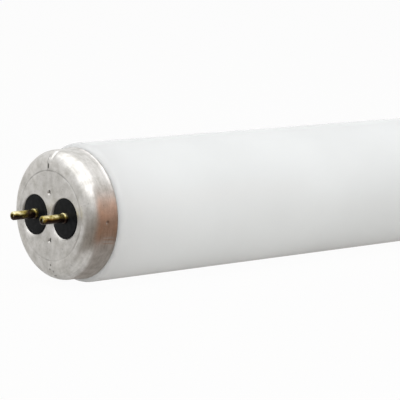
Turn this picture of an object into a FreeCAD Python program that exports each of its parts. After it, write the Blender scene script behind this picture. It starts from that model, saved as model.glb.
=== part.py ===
"""Straight fluorescent lamp with a two-pin cap on each end, in millimetres.

The lamp lies along X with its middle at the origin and Z up. Both ends are alike. Each piece
of an end is modelled in that end's own frame, with its origin at the middle of the cap's face,
X pointing into the tube and the two pins side by side along Y. The left end stands as
modelled, and the right end is the same turned half round Z.
"""
import FreeCAD, Part
import math
import os
import Sketcher

doc = FreeCAD.newDocument("FluorescentLamp")

# Driving dimensions
SIZES = {
    # Whole lamp
    "face_to_face": 588.8,
    "pin_spacing": 12.7,
    # Glass bulb
    "tube_diameter": 37.5,
    "cement_gap": 0.75,
    "glass_setback": 3.4,
    "glass_edge_radius": 1.3,
    "glass_shoulder_radius": 2.2,
    "glass_gap": 0.3,
    "flare_rim_width": 3.6,
    "flare_throat_diameter": 14.0,
    "flare_depth": 18.0,
    "exhaust_diameter": 4.4,
    "exhaust_length": 13.0,
    "exhaust_tip_diameter": 1.6,
    "exhaust_tip_length": 2.2,
    # Cap shell
    "cap_inset": 1.35,
    "skirt_depth": 8.75,
    "shell_wall": 0.3,
    "shell_corner_radius": 3.8,
    "shell_shoulder_flat": 0.8,
    "face_land_height": 0.12,
    "rim_flare": 0.25,
    "rim_flare_depth": 0.6,
    "hole_web": 0.5,
    "hole_margin": 0.35,
    "lip_radius": 0.75,
    "lip_length": 0.2,
    "stake_spacing": 12.8,
    "stake_diameter": 1.3,
    "stake_depth": 0.6,
    "stake_point_diameter": 0.4,
    "crease_width": 0.9,
    "crease_depth": 0.2,
    "crease_overrun": 5.0,
    # Insulator
    "plate_inset": 0.15,
    "plate_thickness": 2.2,
    "plate_edge_chamfer": 0.4,
    "boss_clearance": 0.05,
    "boss_setback": 0.05,
    "boss_edge_chamfer": 0.25,
    "seat_clearance": 0.1,
    # Contact pin
    "pin_diameter": 2.35,
    "pin_length": 7.6,
    "pin_bore_diameter": 1.5,
    "pin_mouth_diameter": 1.1,
    "pin_mouth_depth": 0.5,
    "pin_tip_radius": 0.4,
    "crimp_length": 1.2,
    "collar_diameter": 2.85,
    "collar_thickness": 0.7,
    "collar_chamfer": 0.15,
    "rivet_diameter": 3.4,
    "rivet_thickness": 0.5,
    # Lead wire
    "lead_diameter": 0.5,
    "lead_spread": 8.4,
    "lead_bend_radius": 2.5,
    "lead_bend_start": 5.0,
    "lead_bend_end": 11.0,
    "lead_end_setback": 0.4,
}

sheet = doc.addObject("Spreadsheet::Sheet", "Sizes")
for row, (alias, size) in enumerate(SIZES.items(), start=1):
    sheet.set(f"A{row}", alias)
    sheet.set(f"B{row}", str(size))
    sheet.setAlias(f"B{row}", alias)
doc.recompute()

# Sizes that follow from the driving ones
HALF_LENGTH = "Sizes.face_to_face / 2"
TUBE_RADIUS = "Sizes.tube_diameter / 2"
CAP_RADIUS = f"({TUBE_RADIUS} - Sizes.cap_inset)"
SHELL_BORE = f"({CAP_RADIUS} - Sizes.shell_wall)"
NECK_RADIUS = f"({SHELL_BORE} - Sizes.cement_gap)"
SHOULDER_HEIGHT = f"({TUBE_RADIUS} - {NECK_RADIUS})"
FLAT_RADIUS = f"({CAP_RADIUS} - Sizes.shell_corner_radius)"
LAND_RADIUS = f"({FLAT_RADIUS} - Sizes.shell_shoulder_flat)"
INNER_FACE = "(Sizes.face_land_height + Sizes.shell_wall)"
CORNER_DEPTH = "(Sizes.face_land_height + Sizes.shell_corner_radius)"
RIM_BEND = "(Sizes.skirt_depth - Sizes.rim_flare_depth)"
HALF_SPACING = "Sizes.pin_spacing / 2"
LIP_INWARD = f"({HALF_SPACING} - Sizes.hole_web / 2)"
LIP_OUTWARD = f"({LAND_RADIUS} - Sizes.hole_margin - {HALF_SPACING})"
LIP_OUTER = f"min({LIP_INWARD}; {LIP_OUTWARD})"
HOLE_RADIUS = f"({LIP_OUTER} - Sizes.lip_radius)"
LIP_DEPTH = "(Sizes.lip_radius + Sizes.lip_length)"
STAKE_HEIGHT = "Sizes.stake_spacing / 2"
STAKE_RADIUS = "(Sizes.stake_diameter / 2 + Sizes.shell_wall)"
STAKE_TIP_RADIUS = "(Sizes.stake_point_diameter / 2 + Sizes.shell_wall)"
STAKE_REACH = "(Sizes.stake_depth + Sizes.shell_wall)"
PLATE_RADIUS = f"({FLAT_RADIUS} - Sizes.plate_inset + Sizes.plate_edge_chamfer)"
PLATE_BACK = f"({INNER_FACE} + Sizes.plate_thickness)"
PIN_RADIUS = "Sizes.pin_diameter / 2"
BORE_RADIUS = "Sizes.pin_bore_diameter / 2"
LEAD_RADIUS = "Sizes.lead_diameter / 2"


# Sketches
def value(expression):
    """Number that an expression of the sizes gives."""
    return float(sheet.evalExpression(expression))


def bind(sketch, kind, elements, expression):
    """Dimension of a sketch that follows an expression."""
    index = sketch.addConstraint(Sketcher.Constraint(kind, *elements, value(expression)))
    sketch.setExpression(f"Constraints[{index}]", expression)


def new_sketch(body, name, plane, offset="0"):
    """Sketch on one of the body's own planes, moved along its normal by the offset."""
    sketch = body.newObject("Sketcher::SketchObject", name)
    support = next(item for item in body.Origin.OriginFeatures if item.Role == plane)
    sketch.AttachmentSupport = [(support, "")]
    sketch.MapMode = "FlatFace"
    sketch.setExpression("AttachmentOffset.Base.z", offset)
    return sketch


def place_point(sketch, geometry, end, across, along):
    """Dimension a point of the sketch from the origin, in both directions."""
    bind(sketch, "DistanceX", (-1, 1, geometry, end), across)
    bind(sketch, "DistanceY", (-1, 1, geometry, end), along)


def draw_arc(sketch, corner, before, after, radius):
    """Arc that rounds a corner; gives its index and which of its ends comes first."""
    to_before = (before - corner).normalize()
    to_after = (after - corner).normalize()
    half_angle = to_before.getAngle(to_after) / 2
    setback = radius / math.tan(half_angle)
    first = corner + to_before * setback
    last = corner + to_after * setback
    centre = corner + (to_before + to_after).normalize() * (radius / math.sin(half_angle))
    turns_left = to_before.cross(to_after).z < 0
    start, end = (first, last) if turns_left else (last, first)
    angles = [math.atan2(point.y - centre.y, point.x - centre.x) for point in (start, end)]
    if angles[1] < angles[0]:
        angles[1] += 2 * math.pi
    circle = Part.Circle(centre, FreeCAD.Vector(0, 0, 1), radius)
    index = sketch.addGeometry(Part.ArcOfCircle(circle, *angles))
    return index, first, last, (1, 2) if turns_left else (2, 1)


def outline(sketch, corners, closed=True):
    """Run of straight sides through corners (x, y) or (x, y, radius), all expressions."""
    points = [FreeCAD.Vector(value(corner[0]), value(corner[1]), 0) for corner in corners]
    count = len(corners)
    arrivals = list(points)
    departures = list(points)
    arcs = {}
    for number, corner in enumerate(corners):
        if len(corner) == 3:
            neighbours = points[number - 1], points[(number + 1) % count]
            index, first, last, ends = draw_arc(sketch, points[number], *neighbours, value(corner[2]))
            arrivals[number] = first
            departures[number] = last
            arcs[number] = index, ends
    side_count = count if closed else count - 1
    sides = [
        sketch.addGeometry(Part.LineSegment(departures[number], arrivals[(number + 1) % count]))
        for number in range(side_count)
    ]
    for number, corner in enumerate(corners):
        is_first = not closed and number == 0
        is_last = not closed and number == count - 1
        side_in = None if is_first else sides[number - 1]
        side_out = None if is_last else sides[number]
        if number in arcs:
            index, ends = arcs[number]
            sketch.addConstraint(Sketcher.Constraint("Tangent", side_in, 2, index, ends[0]))
            sketch.addConstraint(Sketcher.Constraint("Tangent", index, ends[1], side_out, 1))
            bind(sketch, "Radius", (index,), corner[2])
            sharp = sketch.addGeometry(Part.Point(points[number]), True)
            sketch.addConstraint(Sketcher.Constraint("PointOnObject", sharp, 1, side_in))
            sketch.addConstraint(Sketcher.Constraint("PointOnObject", sharp, 1, side_out))
            place_point(sketch, sharp, 1, corner[0], corner[1])
        elif is_first:
            place_point(sketch, side_out, 1, corner[0], corner[1])
        elif is_last:
            place_point(sketch, side_in, 2, corner[0], corner[1])
        else:
            sketch.addConstraint(Sketcher.Constraint("Coincident", side_in, 2, side_out, 1))
            place_point(sketch, side_out, 1, corner[0], corner[1])


def draw_circle(sketch, across, along, radius):
    """Circle whose centre and radius follow expressions."""
    centre = FreeCAD.Vector(value(across), value(along), 0)
    circle = Part.Circle(centre, FreeCAD.Vector(0, 0, 1), value(radius))
    index = sketch.addGeometry(circle)
    place_point(sketch, index, 3, across, along)
    bind(sketch, "Radius", (index,), radius)


def draw_axis(sketch, start, end):
    """Construction line to turn round; gives the name that a feature knows it by."""
    points = [FreeCAD.Vector(value(across), value(along), 0) for across, along in (start, end)]
    index = sketch.addGeometry(Part.LineSegment(*points), True)
    place_point(sketch, index, 1, *start)
    place_point(sketch, index, 2, *end)
    return "Axis0"


# Features
def turn(body, sketch, name, axis="H_Axis", cut=False, angle="360"):
    """Revolution or groove of a sketch round one of its axes."""
    feature = body.newObject("PartDesign::Groove" if cut else "PartDesign::Revolution", name)
    feature.Profile = sketch
    feature.ReferenceAxis = (sketch, [axis])
    feature.setExpression("Angle", angle)
    return feature


def cut_along_x(body, sketch, name, depth):
    """Pocket from a sketch on the YZ plane, towards the tube."""
    feature = body.newObject("PartDesign::Pocket", name)
    feature.Profile = sketch
    feature.Reversed = True
    feature.setExpression("Length", depth)


def mirror(body, originals, name, plane):
    """Copy of features on the other side of one of the body's own planes."""
    feature = body.newObject("PartDesign::Mirrored", name)
    feature.Originals = originals
    support = next(item for item in body.Origin.OriginFeatures if item.Role == plane)
    feature.MirrorPlane = (support, [""])
    body.Tip = feature
    return feature


def new_body(name):
    """Body whose label names its node."""
    body = doc.addObject("PartDesign::Body", name)
    body.Label = name
    return body


# Ends of the lamp: name and side of the origin
ENDS = {"left": -1, "right": 1}

# Pins of an end: name and side of the XZ plane
ROWS = {"front": -1, "rear": 1}


def place(body, side, row=0, flipped=False):
    """Stand a piece at one end, on the axis or on a pin's axis, or flipped round its own X."""
    turned = FreeCAD.Rotation(FreeCAD.Vector(0, 0, 1), 180 if side > 0 else 0)
    flip = FreeCAD.Rotation(FreeCAD.Vector(1, 0, 0), 180 if flipped else 0)
    body.Placement = FreeCAD.Placement(FreeCAD.Vector(), turned * flip)
    body.setExpression("Placement.Base.x", f"{side} * {HALF_LENGTH}")
    body.setExpression("Placement.Base.y", f"{row} * {HALF_SPACING}")


# Glass bulb: sealed, with a necked-down end and a funnel round the exhaust stub in each cap
def glass_tube():
    body = new_body("glass_tube")
    glass_end = f"({HALF_LENGTH} - Sizes.glass_setback)"
    shoulder = f"({HALF_LENGTH} - Sizes.skirt_depth - Sizes.glass_gap)"
    throat = f"({glass_end} - Sizes.flare_depth)"
    stub_end = f"({throat} + Sizes.exhaust_length)"
    shoulder_radius = f"min(Sizes.glass_shoulder_radius; {SHOULDER_HEIGHT} * 0.9)"
    edge_radius = "min(Sizes.glass_edge_radius; Sizes.flare_rim_width * 0.7)"
    stub_radius = "Sizes.exhaust_diameter / 2"
    sketch = new_sketch(body, "BulbOutline", "XZ_Plane")
    outline(sketch, [
        ("0", "0"),
        ("0", TUBE_RADIUS),
        (shoulder, TUBE_RADIUS, shoulder_radius),
        (shoulder, NECK_RADIUS),
        (glass_end, NECK_RADIUS, edge_radius),
        (glass_end, f"{NECK_RADIUS} - Sizes.flare_rim_width"),
        (throat, "Sizes.flare_throat_diameter / 2"),
        (throat, stub_radius),
        (f"{stub_end} - Sizes.exhaust_tip_length", stub_radius),
        (stub_end, "Sizes.exhaust_tip_diameter / 2"),
        (stub_end, "0"),
    ])
    half = turn(body, sketch, "HalfBulb")
    mirror(body, [half], "Bulb", "YZ_Plane")
    return body


# Cap shell: drawn sheet cup with a raised land, two lipped holes, two stakes and two creases
def cap_shell(side_name, side):
    body = new_body(f"{side_name}_cap_shell")
    step_radius = f"({LAND_RADIUS} + Sizes.face_land_height)"
    sketch = new_sketch(body, "CupOutline", "XZ_Plane")
    outline(sketch, [
        ("0", "0"),
        ("0", LAND_RADIUS),
        ("Sizes.face_land_height", step_radius),
        ("Sizes.face_land_height", CAP_RADIUS, "Sizes.shell_corner_radius"),
        (RIM_BEND, CAP_RADIUS),
        ("Sizes.skirt_depth", f"{CAP_RADIUS} + Sizes.rim_flare"),
        ("Sizes.skirt_depth", f"{SHELL_BORE} + Sizes.rim_flare"),
        (RIM_BEND, SHELL_BORE),
        (INNER_FACE, SHELL_BORE, "Sizes.shell_corner_radius - Sizes.shell_wall"),
        (INNER_FACE, "0"),
    ])
    turn(body, sketch, "Cup")

    sketch = new_sketch(body, "HoleOutlines", "YZ_Plane")
    for row in ROWS.values():
        draw_circle(sketch, f"{row} * {HALF_SPACING}", "0", LIP_OUTER)
    cut_along_x(body, sketch, "Holes", LIP_DEPTH)

    lip_overlap = f"({HALF_SPACING} + {LIP_OUTER} + Sizes.shell_wall / 4)"
    lip_bore = f"({HALF_SPACING} + {HOLE_RADIUS})"
    lip_back = f"({lip_bore} + Sizes.shell_wall)"
    sketch = new_sketch(body, "LipOutline", "XY_Plane")
    axis = draw_axis(sketch, ("0", HALF_SPACING), (LIP_DEPTH, HALF_SPACING))
    outline(sketch, [
        ("0", lip_overlap),
        ("0", lip_bore, "Sizes.lip_radius"),
        (LIP_DEPTH, lip_bore),
        (LIP_DEPTH, lip_back),
        (INNER_FACE, lip_back, f"Sizes.lip_radius - {INNER_FACE}"),
        (INNER_FACE, lip_overlap),
    ])
    lip = turn(body, sketch, "RearLip", axis)
    mirror(body, [lip], "FrontLip", "XZ_Plane")

    sketch = new_sketch(body, "StakeOutline", "XZ_Plane")
    axis = draw_axis(sketch, ("0", STAKE_HEIGHT), (STAKE_REACH, STAKE_HEIGHT))
    outline(sketch, [
        (f"{INNER_FACE} / 2", STAKE_HEIGHT),
        (f"{INNER_FACE} / 2", f"{STAKE_HEIGHT} + {STAKE_RADIUS}"),
        (INNER_FACE, f"{STAKE_HEIGHT} + {STAKE_RADIUS}"),
        (STAKE_REACH, f"{STAKE_HEIGHT} + {STAKE_TIP_RADIUS}"),
        (STAKE_REACH, STAKE_HEIGHT),
    ])
    stake = turn(body, sketch, "Stake", axis)
    sketch = new_sketch(body, "PitOutline", "XZ_Plane")
    axis = draw_axis(sketch, ("0", STAKE_HEIGHT), (STAKE_REACH, STAKE_HEIGHT))
    outline(sketch, [
        ("0", STAKE_HEIGHT),
        ("0", f"{STAKE_HEIGHT} + Sizes.stake_diameter / 2"),
        ("Sizes.stake_depth", f"{STAKE_HEIGHT} + Sizes.stake_point_diameter / 2"),
        ("Sizes.stake_depth", STAKE_HEIGHT),
    ])
    pit = turn(body, sketch, "Pit", axis, cut=True)
    mirror(body, [stake, pit], "LowerStake", "XY_Plane")

    half_width = "Sizes.crease_width / 2"
    tool_radius = f"(({half_width} * {half_width} / Sizes.crease_depth + Sizes.crease_depth) / 2)"
    bend_height = f"({CAP_RADIUS} - Sizes.shell_corner_radius)"
    sketch = new_sketch(body, "CreaseOutline", "XY_Plane", bend_height)
    axis = draw_axis(sketch, (CORNER_DEPTH, "0"), (CORNER_DEPTH, tool_radius))
    lift = f"{tool_radius} - Sizes.crease_depth"
    draw_circle(sketch, f"Sizes.face_land_height - ({lift})", "0", tool_radius)
    crease = turn(body, sketch, "UpperCrease", axis, cut=True, angle="90 + Sizes.crease_overrun")
    mirror(body, [crease], "LowerCrease", "XY_Plane")
    place(body, side)
    return body


# Insulator: moulded plate behind the face, with a boss in each hole and a seat for each stake
def insulator(side_name, side):
    body = new_body(f"{side_name}_insulator")
    sketch = new_sketch(body, "PlateOutline", "XZ_Plane")
    outline(sketch, [
        (INNER_FACE, "0"),
        (INNER_FACE, f"{PLATE_RADIUS} - Sizes.plate_edge_chamfer"),
        (f"{INNER_FACE} + Sizes.plate_edge_chamfer", PLATE_RADIUS),
        (PLATE_BACK, PLATE_RADIUS),
        (PLATE_BACK, "0"),
    ])
    turn(body, sketch, "Plate")

    seat_depth = f"({LIP_DEPTH} + Sizes.seat_clearance)"
    seat_radius = f"({LIP_OUTER} + Sizes.seat_clearance)"
    sketch = new_sketch(body, "LipSeatOutlines", "YZ_Plane")
    for row in ROWS.values():
        draw_circle(sketch, f"{row} * {HALF_SPACING}", "0", seat_radius)
    cut_along_x(body, sketch, "LipSeats", seat_depth)

    boss_side = f"({HALF_SPACING} + {HOLE_RADIUS} - Sizes.boss_clearance)"
    boss_root = f"({seat_depth} + Sizes.seat_clearance)"
    sketch = new_sketch(body, "BossOutline", "XY_Plane")
    axis = draw_axis(sketch, ("0", HALF_SPACING), (boss_root, HALF_SPACING))
    outline(sketch, [
        ("Sizes.boss_setback", HALF_SPACING),
        ("Sizes.boss_setback", f"{boss_side} - Sizes.boss_edge_chamfer"),
        ("Sizes.boss_setback + Sizes.boss_edge_chamfer", boss_side),
        (boss_root, boss_side),
        (boss_root, HALF_SPACING),
    ])
    boss = turn(body, sketch, "RearBoss", axis)
    mirror(body, [boss], "FrontBoss", "XZ_Plane")

    sketch = new_sketch(body, "PinHoleOutlines", "YZ_Plane")
    for row in ROWS.values():
        draw_circle(sketch, f"{row} * {HALF_SPACING}", "0", PIN_RADIUS)
    cut_along_x(body, sketch, "PinHoles", f"{PLATE_BACK} + Sizes.rivet_thickness")

    stake_seat = f"({STAKE_REACH} + Sizes.seat_clearance)"
    sketch = new_sketch(body, "StakeSeatOutline", "XZ_Plane")
    axis = draw_axis(sketch, ("0", STAKE_HEIGHT), (stake_seat, STAKE_HEIGHT))
    outline(sketch, [
        (f"{INNER_FACE} / 2", STAKE_HEIGHT),
        (f"{INNER_FACE} / 2", f"{STAKE_HEIGHT} + {STAKE_RADIUS} + Sizes.seat_clearance"),
        (INNER_FACE, f"{STAKE_HEIGHT} + {STAKE_RADIUS} + Sizes.seat_clearance"),
        (stake_seat, f"{STAKE_HEIGHT} + {STAKE_TIP_RADIUS} + Sizes.seat_clearance"),
        (stake_seat, STAKE_HEIGHT),
    ])
    seat = turn(body, sketch, "UpperStakeSeat", axis, cut=True)
    mirror(body, [seat], "LowerStakeSeat", "XY_Plane")
    place(body, side)
    return body


# Contact pin: hollow, collared in front of the insulator, riveted behind it and crimped at its tip
def contact_pin(side_name, side, row_name, row):
    body = new_body(f"{side_name}_{row_name}_pin")
    tip = "(-Sizes.pin_length)"
    mouth_end = f"({tip} + Sizes.pin_mouth_depth)"
    crimp_end = f"({mouth_end} + Sizes.crimp_length)"
    collar_front = "(Sizes.boss_setback - Sizes.collar_thickness)"
    collar_radius = "Sizes.collar_diameter / 2"
    rivet_radius = "Sizes.rivet_diameter / 2"
    rivet_back = f"({PLATE_BACK} + Sizes.rivet_thickness)"
    sketch = new_sketch(body, "PinOutline", "XZ_Plane")
    outline(sketch, [
        (tip, "Sizes.pin_mouth_diameter / 2"),
        (tip, PIN_RADIUS, "Sizes.pin_tip_radius"),
        (collar_front, PIN_RADIUS),
        (collar_front, f"{collar_radius} - Sizes.collar_chamfer"),
        (f"{collar_front} + Sizes.collar_chamfer", collar_radius),
        ("Sizes.boss_setback", collar_radius),
        ("Sizes.boss_setback", PIN_RADIUS),
        (PLATE_BACK, PIN_RADIUS),
        (PLATE_BACK, rivet_radius),
        (f"{rivet_back} - Sizes.collar_chamfer", rivet_radius),
        (rivet_back, f"{rivet_radius} - Sizes.collar_chamfer"),
        (rivet_back, BORE_RADIUS),
        (f"{crimp_end} + ({BORE_RADIUS} - {LEAD_RADIUS})", BORE_RADIUS),
        (crimp_end, LEAD_RADIUS),
        (mouth_end, LEAD_RADIUS),
    ])
    turn(body, sketch, "Pin")
    place(body, side, row)
    return body


# Lead wire: from the funnel's floor beside the exhaust stub, through the pin to its crimp
def lead_wire(side_name, side, row_name, row):
    body = new_body(f"{side_name}_{row_name}_lead")
    wire_tip = "(Sizes.lead_end_setback - Sizes.pin_length)"
    throat = "(Sizes.glass_setback + Sizes.flare_depth)"
    seal_height = "Sizes.lead_spread / 2"
    path = new_sketch(body, "WirePath", "XY_Plane")
    outline(path, [
        (wire_tip, HALF_SPACING),
        ("Sizes.lead_bend_start", HALF_SPACING, "Sizes.lead_bend_radius"),
        ("Sizes.lead_bend_end", seal_height, "Sizes.lead_bend_radius"),
        (throat, seal_height),
    ], closed=False)
    section = new_sketch(body, "WireSection", "YZ_Plane", wire_tip)
    draw_circle(section, HALF_SPACING, "0", LEAD_RADIUS)
    wire = body.newObject("PartDesign::AdditivePipe", "Wire")
    wire.Profile = section
    wire.Spine = path
    place(body, side, flipped=row * side > 0)
    return body


# Cement: ring of basing cement between the cap's skirt and the neck of the glass
def cement_ring(side_name, side):
    body = new_body(f"{side_name}_cement")
    front = f"max({CORNER_DEPTH}; Sizes.glass_setback + Sizes.glass_edge_radius)"
    sketch = new_sketch(body, "RingOutline", "XZ_Plane")
    outline(sketch, [
        (front, NECK_RADIUS),
        (front, SHELL_BORE),
        (RIM_BEND, SHELL_BORE),
        (RIM_BEND, NECK_RADIUS),
    ])
    turn(body, sketch, "Ring")
    place(body, side)
    return body


# The whole lamp
nodes = [glass_tube()]
for side_name, side in ENDS.items():
    nodes.append(cap_shell(side_name, side))
    nodes.append(insulator(side_name, side))
    nodes.append(cement_ring(side_name, side))
    for row_name, row in ROWS.items():
        nodes.append(contact_pin(side_name, side, row_name, row))
        nodes.append(lead_wire(side_name, side, row_name, row))
doc.recompute()

# Nothing is written unless every feature worked
failed = [item.Name for item in doc.Objects if {"Invalid", "Error"} & set(item.State)]
failed += [node.Label for node in nodes if node.Shape.isNull() or not node.Shape.isValid()]
if failed:
    raise RuntimeError(f"failed: {failed}")

os.makedirs("parts", exist_ok=True)
for node in nodes:
    node.Shape.exportStep(f"parts/{node.Label}.step")
    solids = len(node.Shape.Solids)
    print(f"{node.Label}: {solids} solid, {node.Shape.Volume:.1f} mm3")
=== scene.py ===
"""Straight fluorescent lamp with an aluminium two-pin cap on each end, as a Blender add-on.

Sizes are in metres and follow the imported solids. Each end is made in its own frame, with its
origin at the middle of the cap's face, X pointing into the tube and the pins along Y.
"""
import bisect
import math
from typing import NamedTuple

import bmesh
import bpy
from bpy.props import FloatProperty, FloatVectorProperty, PointerProperty
from mathutils import Matrix, Vector, noise
from mathutils.geometry import delaunay_2d_cdt


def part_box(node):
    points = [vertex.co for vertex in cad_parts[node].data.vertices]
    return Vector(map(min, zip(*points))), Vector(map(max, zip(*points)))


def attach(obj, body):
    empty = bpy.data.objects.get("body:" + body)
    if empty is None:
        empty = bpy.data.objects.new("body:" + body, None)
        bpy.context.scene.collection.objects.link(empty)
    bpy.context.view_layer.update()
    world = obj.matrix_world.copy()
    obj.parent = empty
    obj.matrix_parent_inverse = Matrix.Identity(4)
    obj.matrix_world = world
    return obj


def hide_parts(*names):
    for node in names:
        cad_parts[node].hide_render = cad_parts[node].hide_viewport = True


bl_info = {
    "name": "Fluorescent lamp",
    "version": (1, 0, 0),
    "blender": (4, 5, 0),
    "location": "3D View > Sidebar > Lamp",
    "description": "Builds a thick fluorescent tube with two-pin caps over its solids",
    "category": "Add Mesh",
}

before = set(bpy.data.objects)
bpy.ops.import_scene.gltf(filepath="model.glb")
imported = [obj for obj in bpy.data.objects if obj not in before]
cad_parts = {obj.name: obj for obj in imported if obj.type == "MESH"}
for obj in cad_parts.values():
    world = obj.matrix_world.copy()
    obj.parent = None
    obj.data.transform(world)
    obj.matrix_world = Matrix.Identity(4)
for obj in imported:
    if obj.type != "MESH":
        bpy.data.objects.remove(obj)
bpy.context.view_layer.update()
MM = 0.001
BODY = "root"

# Ends of the lamp: name and side of the origin
ENDS = {"left": -1, "right": 1}

# Pins of an end: name and side of the XZ plane
ROWS = {"front": -1, "rear": 1}


def linear(hex_colour):
    """Linear RGBA of an sRGB hex colour."""
    channels = [int(hex_colour[start:start + 2], 16) / 255 for start in (1, 3, 5)]
    return [c / 12.92 if c <= 0.04045 else ((c + 0.055) / 1.055) ** 2.4 for c in channels] + [1.0]


def length(name, default, description):
    """Property for a size in metres."""
    return FloatProperty(
        name=name, description=description, default=default, min=0,
        precision=5, unit="LENGTH", subtype="DISTANCE",
    )


def colour(name, default, description):
    """Property for a colour, from its sRGB hex value."""
    return FloatVectorProperty(
        name=name, description=description, default=linear(default), size=4,
        min=0, max=1, subtype="COLOR",
    )


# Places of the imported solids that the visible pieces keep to
GLASS_LOW, GLASS_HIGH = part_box("glass_tube")
SHELL_LOW, SHELL_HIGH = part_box("left_cap_shell")
PLATE_LOW, PLATE_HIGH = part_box("left_insulator")
PIN_LOW, PIN_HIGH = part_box("left_front_pin")
FACE = -SHELL_LOW.x


class LampSizes(bpy.types.PropertyGroup):
    """Sizes of the glass tube, its caps and their pins."""

    tube_radius: length("Tube radius", GLASS_HIGH.z, "Outer radius of the glass tube")
    glass_setback: length("Glass setback", FACE - GLASS_HIGH.x, "From the cap's face to the glass")
    neck_gap: length("Neck gap", 1.05 * MM, "From the cap's outside to the neck of the glass")
    glass_rim_width: length("Glass rim width", 3.6 * MM, "Width of the glass rim round each funnel")
    glass_edge_radius: length("Glass edge radius", 1.3 * MM, "Round of the glass rim")
    flare_depth: length("Funnel depth", 18.0 * MM, "Depth of the glass funnel inside each cap")
    throat_radius: length("Throat radius", 7.0 * MM, "Radius of the floor of the glass funnel")
    stub_radius: length("Stub radius", 2.2 * MM, "Radius of the sealed exhaust stub in the funnel")
    stub_length: length("Stub length", 13.0 * MM, "Length of the sealed exhaust stub")
    stub_tip_radius: length("Stub tip radius", 0.8 * MM, "Radius of the stub's drawn-off tip")
    stub_tip_length: length("Stub tip length", 2.2 * MM, "Length of the stub's drawn-off tip")
    shoulder_radius: length("Shoulder radius", 2.16 * MM, "Round where the tube narrows to its neck")
    shoulder_gap: length("Shoulder gap", 0.3 * MM, "Between the cap's rim and the glass shoulder")
    cap_radius: length("Cap radius", 17.4 * MM, "Outer radius of the cap's skirt")
    skirt_depth: length("Skirt depth", SHELL_HIGH.x - SHELL_LOW.x, "From the cap's face to its rim")
    corner_radius: length("Corner radius", 3.8 * MM, "Round between the cap's face and its skirt")
    land_radius: length("Land radius", 12.0 * MM, "Radius of the flat land on the face")
    land_height: length("Land height", 0.12 * MM, "Height of the raised land on the face")
    land_stretch: length("Land stretch", 1.0 * MM, "How much longer the land is across the pins")
    land_line: length("Land line", 0.55 * MM, "Width of the line pressed round the land")
    land_line_depth: length("Land line depth", 0.05 * MM, "Depth of that line")
    rim_flare: length("Rim flare", 0.25 * MM, "How far the rim turns outwards")
    rim_flare_depth: length("Rim flare depth", 0.6 * MM, "Depth of the flared part of the rim")
    sheet: length("Sheet thickness", 0.3 * MM, "Wall of the aluminium cap")
    waviness: length("Waviness", 0.005 * MM, "Unevenness of the corner and the skirt")
    pin_spacing: length("Pin spacing", 12.7 * MM, "Between the axes of the two pins of an end")
    hole_radius: length("Hole radius", 5.12 * MM, "Radius of the openings for the insulator's bosses")
    lip_radius: length("Lip radius", 0.3 * MM, "Tightest roll of the sheet into an opening")
    lip_wide_radius: length("Wide lip radius", 2.1 * MM, "Widest roll of the sheet into an opening")
    lip_depth: length("Lip depth", 0.95 * MM, "From the cap's face to the end of the rolled lips")
    stake_height: length("Stake height", 6.4 * MM, "From the cap's axis to each staked dimple")
    stake_drop: length("Stake drop", 0.37 * MM, "How far both dimples sit below their even places")
    stake_radius: length("Stake radius", 0.7 * MM, "Radius of each staked dimple")
    stake_depth: length("Stake depth", 0.6 * MM, "Depth of each staked dimple")
    crease_width: length("Crease width", 1.5 * MM, "Width of the crease over the corner")
    crease_depth: length("Crease depth", 0.16 * MM, "Depth of the crease over the corner")
    boss_setback: length("Boss setback", PLATE_LOW.x - SHELL_LOW.x, "From the cap's face to the bosses")
    boss_clearance: length("Boss clearance", 0.05 * MM, "Between a boss and the lip round it")
    boss_edge_radius: length("Boss edge radius", 0.35 * MM, "Round of a boss's edge")
    plate_radius: length("Plate radius", PLATE_HIGH.z, "Radius of the insulator's plate")
    plate_front: length("Plate front", 0.42 * MM, "From the cap's face to the insulator's plate")
    plate_back: length("Plate back", PLATE_HIGH.x - SHELL_LOW.x, "From the cap's face to the plate's back")
    plate_chamfer: length("Plate chamfer", 0.4 * MM, "Bevel of the plate's front edge")
    pin_radius: length("Pin radius", 1.175 * MM, "Radius of a contact pin")
    pin_length: length("Pin length", SHELL_LOW.x - PIN_LOW.x, "From the cap's face to a pin's tip")
    pin_tip_radius: length("Pin tip radius", 0.4 * MM, "Round of a pin's tip")
    pin_mouth_radius: length("Pin mouth radius", 0.55 * MM, "Radius of the opening in a pin's tip")
    pin_mouth_depth: length("Pin mouth depth", 0.5 * MM, "Depth of the opening in a pin's tip")
    pin_mouth_round: length("Pin mouth round", 0.05 * MM, "Round of that opening's edge")
    pin_bore_radius: length("Pin bore radius", 0.75 * MM, "Radius of the bore through a pin")
    crimp_length: length("Crimp length", 1.2 * MM, "Length of bore that is crimped on the lead wire")
    lead_radius: length("Lead radius", 0.25 * MM, "Radius of a lead wire")
    collar_radius: length("Collar radius", 1.425 * MM, "Radius of a pin's collar")
    collar_thickness: length("Collar thickness", 0.7 * MM, "Thickness of a pin's collar")
    collar_round: length("Collar round", 0.2 * MM, "Round of the collar's and the rivet's edges")
    rivet_radius: length("Rivet radius", PIN_HIGH.z, "Radius of a pin's riveted end")
    pin_back: length("Pin back", PIN_HIGH.x - SHELL_LOW.x, "From the cap's face to the riveted end")


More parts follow.
